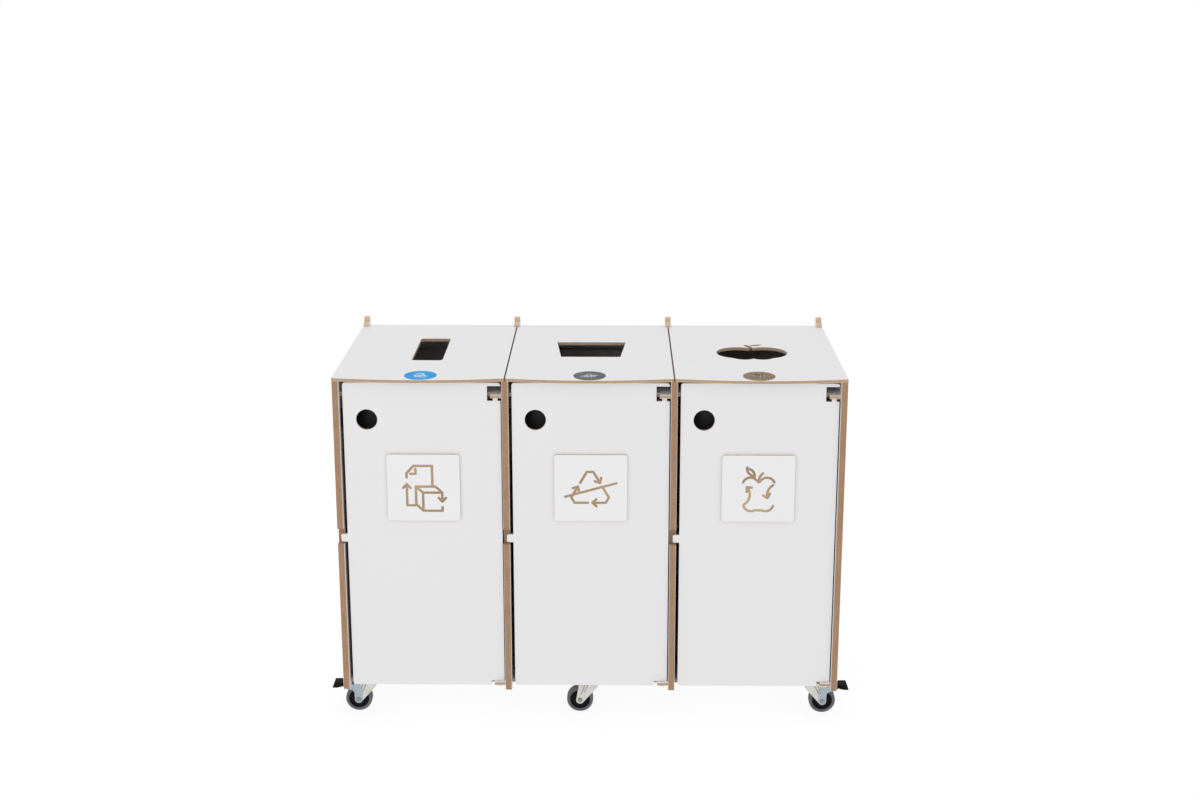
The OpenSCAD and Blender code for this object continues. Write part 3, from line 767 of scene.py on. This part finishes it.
def add_mesh(bm, mesh, matrix, material_index=0):
    """Adds a mesh to a bmesh, moved by a matrix and with one material."""
    part = bmesh.new()
    part.from_mesh(mesh)
    bmesh.ops.remove_doubles(part, verts=part.verts, dist=1e-6)
    bmesh.ops.transform(part, matrix=matrix, verts=part.verts)
    bmesh.ops.recalc_face_normals(part, faces=part.faces)
    for face in part.faces:
        face.material_index = material_index
    spare = bpy.data.meshes.new("spare")
    part.to_mesh(spare)
    part.free()
    bm.from_mesh(spare)


JOINT_AT = {j["name"]: Vector(j["pos_m"]) for j in frame["record"]["behaviour"]["joints"]}


def caster_frame(spot):
    """Where a caster's axle is, how far its king pin lies from it, and its trailing side."""
    axle = JOINT_AT["roll_" + spot]
    king = JOINT_AT["swivel_" + spot]
    turn = 1.0 if king.x > axle.x else -1.0
    return axle, abs(king.x - axle.x), turn


# %% [markdown]
# A fork is one sheet of steel, bent down into two legs round the wheel. Two ribs pressed into each leg
# keep it stiff, and a king pin on the crown turns in the top plate. On a braked caster a second plate
# lies over each leg and reaches out to the pin of the pedal.

# %% Forks
LEG_IN = 14.0 * MM
LEG_T = 2.5 * MM
CROWN_T = 3.0 * MM
PIN_RISE = 5.5 * MM
PIN_R = 5.0
LEG_ROUND = 11.0
AXLE_HOLE = 4.0
BRACKET_T = 1.4 * MM
BRACKET_HOLE = 7.2
PEDAL_BOSS = 7.0
PEDAL_HOLE = 3.1
RIBS = (((13.0, 45.0), (3.5, 18.0)), ((22.0, 45.0), (12.0, 25.0)))
RIB_HALF = 1.6
RIB_RISE = 0.7 * MM


def leg_outline(trail, top):
    """A blade with a round end at the axle that widens to the crown, in millimetres."""
    return arc(0, 0, LEG_ROUND, 180, 328, 14) + [(trail + 22.0, top - 12.0), (trail + 24.0, top), (-2.0, top)]


def bracket_outline(pivot, top):
    """The brake's plate: down to the axle, up to the crown, and one arm out to the pedal's pin."""
    px, pz = pivot
    body = arc(0, 0, LEG_ROUND, 190, 350, 12)
    body += [(10.5, 26.0), (5.0, 44.0), (1.0, top - 3.5), (-9.0, top - 3.5)]
    shoulder = arc(-20.0, 53.5, 9.5, -20, -88, 6)
    boss = arc(px, pz, PEDAL_BOSS, 80, 262, 12)
    elbow = arc(-24.0, 17.0, 13.0, 88, 10, 7)
    return body + shoulder + boss + elbow


def round_hole(x, y, r, steps=28):
    """A closed circle of points."""
    return arc(x, y, r, 0, 360 - 360 / steps, steps - 1)


def fork_piece(spot):
    """Two legs, a crown, a king pin and pressed ribs; the braked ones get their bracket plates."""
    node = "fork_" + spot
    axle, trail, turn = caster_frame(spot)
    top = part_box(node)[1][2] - PIN_RISE - axle.z
    bm = bmesh.new()
    leg_lines = [millimetres(leg_outline(trail / MM, top / MM)), millimetres(round_hole(0, 0, AXLE_HOLE))]
    leg = flat_plate(leg_lines, LEG_T, 0.3 * MM)
    for side in (-1, 1):
        add_mesh(bm, leg, stand(turn, side * (LEG_IN + LEG_T / 2)))
        for a, b in RIBS:
            rib = bmesh.new()
            bar_between(rib, a, b, RIB_HALF, lambda x, y, z: (x * MM, y * MM, z), 0.0, RIB_RISE, 6)
            bmesh.ops.recalc_face_normals(rib, faces=rib.faces)
            round_edges(rib, 0.4 * MM, 2, 60.0)
            foot = 0.0 if side > 0 else RIB_RISE
            # The ribs take the darker zinc, painted shade along the pleats.
            add_mesh(bm, to_mesh(rib, "rib"), stand(turn, side * (LEG_IN + LEG_T + foot)), 2)
    width = LEG_IN + LEG_T
    crown = [(-0.002, -width), (trail + 0.024, -width), (trail + 0.024, width), (-0.002, width)]
    lay = Matrix.Translation((0.0, 0.0, top - CROWN_T / 2)) @ Matrix.Diagonal((turn, 1.0, 1.0, 1.0))
    add_mesh(bm, flat_plate([crown], CROWN_T, 0.4 * MM), lay)
    pin = flat_plate([millimetres(round_hole(0, 0, PIN_R, 32))], PIN_RISE, 0.3 * MM)
    add_mesh(bm, pin, Matrix.Translation((turn * trail, 0.0, top + PIN_RISE / 2)))
    brake = JOINT_AT.get("brake_" + spot.replace("front_", ""))
    if brake and spot.startswith("front"):
        pivot = (-abs(brake.x - axle.x) / MM, (brake.z - axle.z) / MM)
        pin_hole = millimetres(round_hole(*pivot, PEDAL_HOLE))
        outline = millimetres(bracket_outline(pivot, top / MM))
        axle_hole = millimetres(round_hole(0, 0, BRACKET_HOLE))
        plate = flat_plate([outline, axle_hole, pin_hole], BRACKET_T, 0.3 * MM)
        arm = millimetres(arc(*pivot, PEDAL_BOSS, 75, 262, 12) + [(4.0, 26.0), (4.0, 48.0)])
        inner = flat_plate([arm, pin_hole], LEG_T, 0.3 * MM)
        for side in (-1, 1):
            add_mesh(bm, plate, stand(turn, side * (LEG_IN + LEG_T + BRACKET_T / 2)), 1)
            add_mesh(bm, inner, stand(turn, side * (LEG_IN + LEG_T / 2)), 1)
    bmesh.ops.translate(bm, verts=bm.verts, vec=axle)
    piece = new_piece(node + "_pressed", to_mesh(bm, node + "_mesh", 40.0), ZINC, ZINC_BLUE, ZINC_DULL_AND_RIB_SHADE)
    hand_over(piece, BODY_OF[node], SLOT_OF[node], node)
    return piece


for spot in SPOTS:
    print(fork_piece(spot).name)
for side in ("left", "right"):
    softened("brake_pedal_" + side, BLACK_PLASTIC, 1.2, 3)

# %% [markdown]
# The wheel and its bolt are turned parts. A half outline of radius and width is spun round the axle,
# which is how a lathe would see them. The tyre has rounded shoulders and a shallow groove where it
# meets the hub, and the hub is a dished black disc with a boss that takes the bolt.

# %% Turned parts: wheels and bolts
def turned(bm, outline, material_index, steps=56):
    """Spins a closed outline of (radius, across) points round the Y axis."""
    rings = []
    for i in range(steps):
        a = 2 * math.pi * i / steps
        rings.append([bm.verts.new((r * math.cos(a), w, r * math.sin(a))) for r, w in outline])
    for i in range(steps):
        one, two = rings[i], rings[(i + 1) % steps]
        for j in range(len(outline)):
            k = (j + 1) % len(outline)
            face = bm.faces.new((one[j], one[k], two[k], two[j]))
            face.material_index = material_index


def both_sides(half_outline):
    """A half outline from the tread inwards, mirrored to a closed one."""
    return half_outline + [(r, -w) for r, w in reversed(half_outline)]


def tyre_outline(r_out, r_in, half):
    """A tyre with rounded shoulders, and a fine raised ring on its side."""
    shoulder = 3.0 * MM
    turns = [math.pi / 2 * i / 5 for i in range(6)]
    crown = [(r_out - shoulder * (1 - math.cos(t)), half - shoulder * (1 - math.sin(t))) for t in turns]
    ring = [(r_in + 3.2 * MM, half), (r_in + 2.8 * MM, half - 0.5 * MM), (r_in + 0.5 * MM, half - 0.5 * MM)]
    return both_sides(crown + ring + [(r_in, half - 1.2 * MM)])


def hub_outline(bore, r_out, half, rim_half):
    """A dished disc with a boss at the axle."""
    boss = bore + 7.0 * MM
    web = rim_half - 4.5 * MM
    lip = rim_half - 1.2 * MM
    dish = [(r_out, lip), (r_out - 2.6 * MM, lip), (r_out - 4.2 * MM, web), (boss + 1.5 * MM, web)]
    nose = [(boss, web + 1.5 * MM), (boss, half - 1.0 * MM), (boss - 1.0 * MM, half), (bore, half)]
    return both_sides(dish + nose)


TYRE_T = 9.0 * MM
TYRE_HALF = 12.0 * MM
AXLE_R = 4.0 * MM
BOLT_GAP = 0.05 * MM
FLANGE_T = 1.2 * MM


def wheel_piece(spot):
    """A grey tyre on a black hub."""
    node = "wheel_" + spot
    low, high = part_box(node)
    axle = caster_frame(spot)[0]
    r_out = (high[Z] - low[Z]) / 2
    bm = bmesh.new()
    turned(bm, tyre_outline(r_out, r_out - TYRE_T, TYRE_HALF), 0)
    hub_half = (high[Y] - low[Y]) / 2
    turned(bm, hub_outline(AXLE_R + BOLT_GAP, r_out - TYRE_T - 0.02 * MM, hub_half, TYRE_HALF), 1)
    bmesh.ops.recalc_face_normals(bm, faces=bm.faces)
    bmesh.ops.translate(bm, verts=bm.verts, vec=axle)
    piece = new_piece(node + "_turned", to_mesh(bm, node + "_mesh", 40.0), TYRE_GREY, BLACK_PLASTIC)
    hand_over(piece, BODY_OF[node], SLOT_OF[node], node)
    return piece


def bolt_piece(spot):
    """The axle bolt: a shaft, a flange under each head, and six-sided heads with a socket."""
    node = "axle_" + spot
    low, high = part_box(node)
    axle, _, turn = caster_frame(spot)
    reach = (high[Y] - low[Y]) / 2
    face = LEG_IN + LEG_T
    seat = face + FLANGE_T
    head_t = reach - seat
    bm = bmesh.new()
    turned(bm, both_sides([(AXLE_R - BOLT_GAP, face), (0.2 * MM, face)]), 0, 32)
    flange = flat_plate([millimetres(round_hole(0, 0, 6.7))], FLANGE_T, 0.3 * MM)
    head_lines = [millimetres(round_hole(0, 0, 5.6, 6)), millimetres(round_hole(0, 0, 2.3, 6))]
    head = flat_plate(head_lines, head_t, 0.35 * MM)
    floor_disc = flat_plate([millimetres(round_hole(0, 0, 4.0, 12))], head_t * 0.4, 0.1 * MM)
    for side in (-1, 1):
        add_mesh(bm, flange, stand(turn, side * (face + FLANGE_T / 2)))
        add_mesh(bm, head, stand(turn, side * (seat + head_t / 2)))
        add_mesh(bm, floor_disc, stand(turn, side * (seat + head_t * 0.2)))
    bmesh.ops.recalc_face_normals(bm, faces=bm.faces)
    bmesh.ops.translate(bm, verts=bm.verts, vec=axle)
    piece = new_piece(node + "_bolt", to_mesh(bm, node + "_mesh", 35.0), ZINC_DULL_AND_RIB_SHADE)
    hand_over(piece, BODY_OF[node], SLOT_OF[node], node)
    return piece


for spot in SPOTS:
    wheel_piece(spot)
    bolt_piece(spot)
print("wheels and bolts", 2 * len(SPOTS))

# %% [markdown]
# Geometry nodes build a shape from named sizes and put it wherever there is a point. Three helpers do
# the routine part: a tree with inputs, an ending that turns instances into real geometry with a
# material, and a run that keeps the result as a plain mesh.

# %% Geometry node helpers
def geometry_tree(name, inputs):
    """A geometry node tree with named inputs; returns it, its input node and the socket identifiers."""
    tree = bpy.data.node_groups.new(name, "GeometryNodeTree")
    tree.interface.new_socket(name="Geometry", in_out="INPUT", socket_type="NodeSocketGeometry")
    keys = {}
    for label, kind, value in inputs:
        socket = tree.interface.new_socket(name=label, in_out="INPUT", socket_type=kind)
        socket.default_value = value
        keys[label] = socket.identifier
    tree.interface.new_socket(name="Geometry", in_out="OUTPUT", socket_type="NodeSocketGeometry")
    return tree, tree.nodes.new("NodeGroupInput"), keys


def finish_tree(tree, geometry, material):
    """Realises the instances, sets the material and ends the tree."""
    real = tree.nodes.new("GeometryNodeRealizeInstances")
    paint = tree.nodes.new("GeometryNodeSetMaterial")
    paint.inputs["Material"].default_value = material
    out = tree.nodes.new("NodeGroupOutput")
    tree.links.new(geometry, real.inputs["Geometry"])
    tree.links.new(real.outputs[0], paint.inputs["Geometry"])
    tree.links.new(paint.outputs[0], out.inputs[0])


def run_tree(tree, keys, values, start_mesh):
    """Runs a tree on a mesh and returns the result as a plain mesh."""
    holder = bpy.data.objects.new("holder", start_mesh)
    bpy.context.collection.objects.link(holder)
    nodes = holder.modifiers.new("nodes", "NODES")
    nodes.node_group = tree
    for label, value in values.items():
        nodes[keys[label]] = value
    graph = bpy.context.evaluated_depsgraph_get()
    mesh = bpy.data.meshes.new_from_object(holder.evaluated_get(graph))
    bpy.data.objects.remove(holder)
    return mesh

print("geometry helpers ready")

# %% [markdown]
# Four screws hold each caster plate, 24 in all. Copying one by hand would work, but a tree needs only
# their places: it puts a flat head with a cross recess and a shank on every point, and turns each by
# its own seeded angle, as a person would leave them.

# %% Screws, spread by geometry nodes
def screw_tree():
    """A shank and a flat head with a cross recess on every point, each turned by a seeded angle."""
    tree, given, keys = geometry_tree("cross_screws", [
        ("Head Radius", "NodeSocketFloat", 0.005), ("Head Height", "NodeSocketFloat", 0.002),
        ("Shank Radius", "NodeSocketFloat", 0.0028), ("Shank Length", "NodeSocketFloat", 0.008),
        ("Seed", "NodeSocketInt", 4)])
    head = tree.nodes.new("GeometryNodeMeshCylinder")
    head.inputs["Vertices"].default_value = 24
    shank = tree.nodes.new("GeometryNodeMeshCylinder")
    shank.inputs["Vertices"].default_value = 16
    tree.links.new(given.outputs["Head Radius"], head.inputs["Radius"])
    tree.links.new(given.outputs["Head Height"], head.inputs["Depth"])
    tree.links.new(given.outputs["Shank Radius"], shank.inputs["Radius"])
    tree.links.new(given.outputs["Shank Length"], shank.inputs["Depth"])
    raise_shank = tree.nodes.new("GeometryNodeTransform")
    lift = tree.nodes.new("ShaderNodeCombineXYZ")
    both_depths = math_node(tree, "ADD", given.outputs["Head Height"], given.outputs["Shank Length"])
    tree.links.new(math_node(tree, "MULTIPLY", both_depths, 0.5), lift.inputs["Z"])
    tree.links.new(shank.outputs["Mesh"], raise_shank.inputs["Geometry"])
    tree.links.new(lift.outputs[0], raise_shank.inputs["Translation"])
    cross = tree.nodes.new("GeometryNodeJoinGeometry")
    for size in ((0.0062, 0.0011, 0.0016), (0.0011, 0.0062, 0.0016)):
        blade = tree.nodes.new("GeometryNodeMeshCube")
        blade.inputs["Size"].default_value = size
        drop = tree.nodes.new("GeometryNodeTransform")
        drop.inputs["Translation"].default_value = (0.0, 0.0, -0.001)
        tree.links.new(blade.outputs["Mesh"], drop.inputs["Geometry"])
        tree.links.new(drop.outputs[0], cross.inputs[0])
    recess = tree.nodes.new("GeometryNodeMeshBoolean")
    recess.operation = "DIFFERENCE"
    tree.links.new(head.outputs["Mesh"], recess.inputs["Mesh 1"])
    tree.links.new(cross.outputs[0], recess.inputs["Mesh 2"])
    both = tree.nodes.new("GeometryNodeJoinGeometry")
    tree.links.new(recess.outputs[0], both.inputs[0])
    tree.links.new(raise_shank.outputs[0], both.inputs[0])
    turn = tree.nodes.new("FunctionNodeRandomValue")
    turn.data_type = "FLOAT"
    turn.inputs[2].default_value = 0.0
    turn.inputs[3].default_value = math.pi
    tree.links.new(given.outputs["Seed"], turn.inputs["Seed"])
    angle = tree.nodes.new("ShaderNodeCombineXYZ")
    tree.links.new(turn.outputs[1], angle.inputs["Z"])
    spread = tree.nodes.new("GeometryNodeInstanceOnPoints")
    tree.links.new(given.outputs["Geometry"], spread.inputs["Points"])
    tree.links.new(both.outputs[0], spread.inputs["Instance"])
    tree.links.new(angle.outputs[0], spread.inputs["Rotation"])
    finish_tree(tree, spread.outputs[0], ZINC)
    return tree, keys


def islands(bm):
    """The separate pieces of a bmesh, as lists of their vertices."""
    left = set(bm.verts)
    found = []
    while left:
        stack = [left.pop()]
        island = list(stack)
        while stack:
            for edge in stack.pop().link_edges:
                fresh = [v for v in edge.verts if v in left]
                left.difference_update(fresh)
                stack += fresh
                island += fresh
        found.append(island)
    return found


SCREW_HEAD_H = 2.0 * MM
SCREW_SHANK = 6.2 * MM
bm = merged("caster_screws")
screw_points = sorted((sum(v.co.x for v in island) / len(island), sum(v.co.y for v in island) / len(island),
                       min(v.co.z for v in island) + SCREW_HEAD_H / 2) for island in islands(bm))
bm.free()
places = bpy.data.meshes.new("screw_places")
places.from_pydata(screw_points, [], [])
SCREWS, SCREW_KEYS = screw_tree()
screw_sizes = {"Head Radius": 5.0 * MM, "Head Height": SCREW_HEAD_H, "Shank Radius": 2.8 * MM,
               "Shank Length": SCREW_SHANK, "Seed": 4}
screw_mesh = run_tree(SCREWS, SCREW_KEYS, screw_sizes, places)
screws = new_piece("caster_screw_set", screw_mesh)
hand_over(screws, BODY_OF["caster_screws"], SLOT_OF["caster_screws"], "caster_screws")
print("screws", len(screw_points), "faces", len(screw_mesh.polygons))
